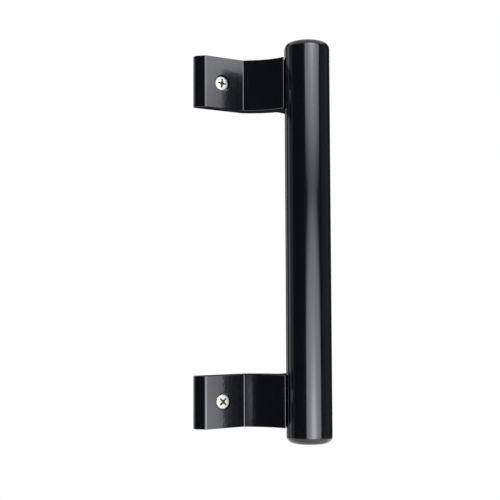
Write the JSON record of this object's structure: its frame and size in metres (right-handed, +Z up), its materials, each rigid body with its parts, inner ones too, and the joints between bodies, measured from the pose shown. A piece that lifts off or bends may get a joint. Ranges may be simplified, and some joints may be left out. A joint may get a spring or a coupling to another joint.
{
  "type": "sliding door handle",
  "caption": "Upright round bar pull for a sliding door, held off the door face by short curved arms, each with a flat foot and a recessed cross-head screw.",
  "frame": {"origin": "on the face of the door, midway between the axes of the door screws", "axes": "+X across the door from the feet towards the grip, +Y into the door along the door screws, +Z up along the grip"},
  "size_m": [0.0679, 0.0615, 0.2112],
  "materials": {
    "grip_black": "smooth gloss black",
    "bracket_enamel": "gloss black enamel on extruded aluminium",
    "screw_bright": "bright nickel plate"
  },
  "bodies": {
    "root": {"grip": "grip_black", "upper_bracket": "bracket_enamel", "lower_bracket": "bracket_enamel", "upper_mounting_screw": "screw_bright", "lower_mounting_screw": "screw_bright", "upper_grip_screw": "screw_bright", "lower_grip_screw": "screw_bright"}
  },
  "joints": []
}
